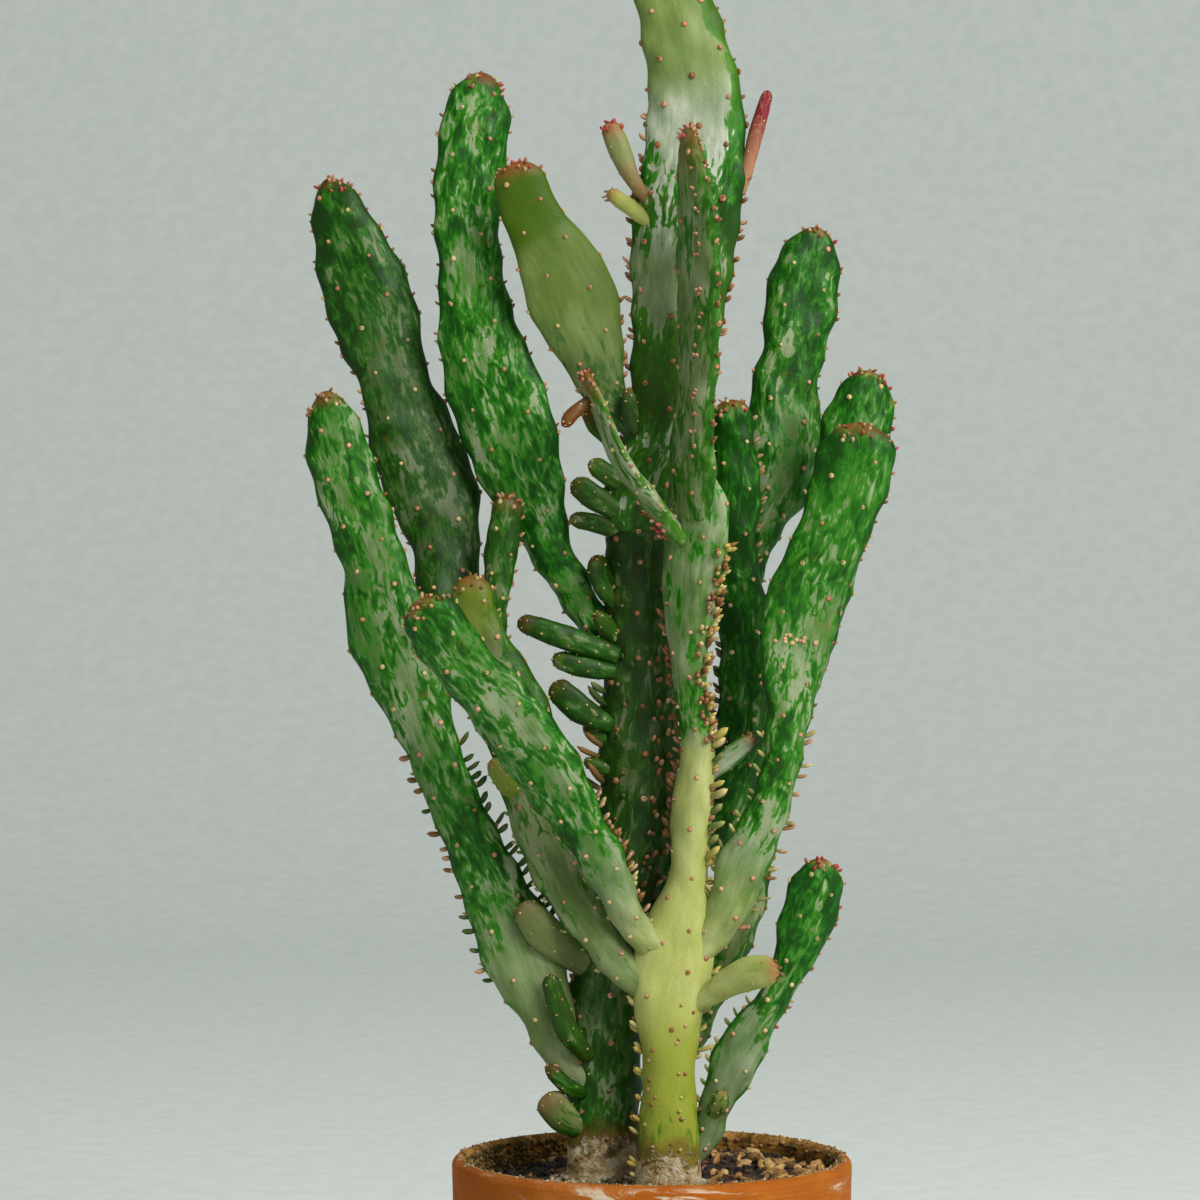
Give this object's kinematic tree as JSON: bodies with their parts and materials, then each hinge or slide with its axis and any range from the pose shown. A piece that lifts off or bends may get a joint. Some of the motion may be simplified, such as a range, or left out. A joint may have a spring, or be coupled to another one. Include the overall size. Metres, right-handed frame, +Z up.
{
  "type": "monstrose prickly pear cactus in a clay pot",
  "caption": "Tall variegated prickly pear with narrow upright pads in a monstrose, crowded habit, rooted in dark soil in a round terracotta pot with a collared rim",
  "frame": {"origin": "middle of the pot's flat foot, on the surface that the pot stands on", "axes": "+Z up along the pot's axis, -Y towards the side that the plant shows, +X to that side's right"},
  "size_m": [0.2082, 0.14, 0.5647],
  "materials": {
    "green_skin": "satin",
    "pale_skin": "satin",
    "yellow_skin": "satin",
    "grey_green_skin": "satin",
    "red_bud": "satin",
    "terracotta": "matte",
    "potting_soil": "matte"
  },
  "bodies": {
    "root": {"back_trunk": "green_skin", "tall_pad": "pale_skin", "front_stem": "yellow_skin", "upper_fin": "green_skin", "left_arm": "green_skin", "left_rear_pads": "green_skin", "tall_left_pad": "green_skin", "cream_pad": "pale_skin", "edge_on_pad": "pale_skin", "front_left_pad": "green_skin", "long_left_pad": "grey_green_skin", "inner_left_pad": "green_skin", "right_column": "green_skin", "right_rear_pad": "green_skin", "right_arm": "green_skin", "right_arm_rear_pad": "green_skin", "low_grey_pad": "grey_green_skin", "low_right_pad": "green_skin", "cream_leaf": "pale_skin", "small_leaf": "pale_skin", "long_red_bud": "red_bud", "red_tipped_bud": "pale_skin", "yellow_bud": "yellow_skin", "pot": "terracotta", "soil": "potting_soil"}
  },
  "joints": []
}
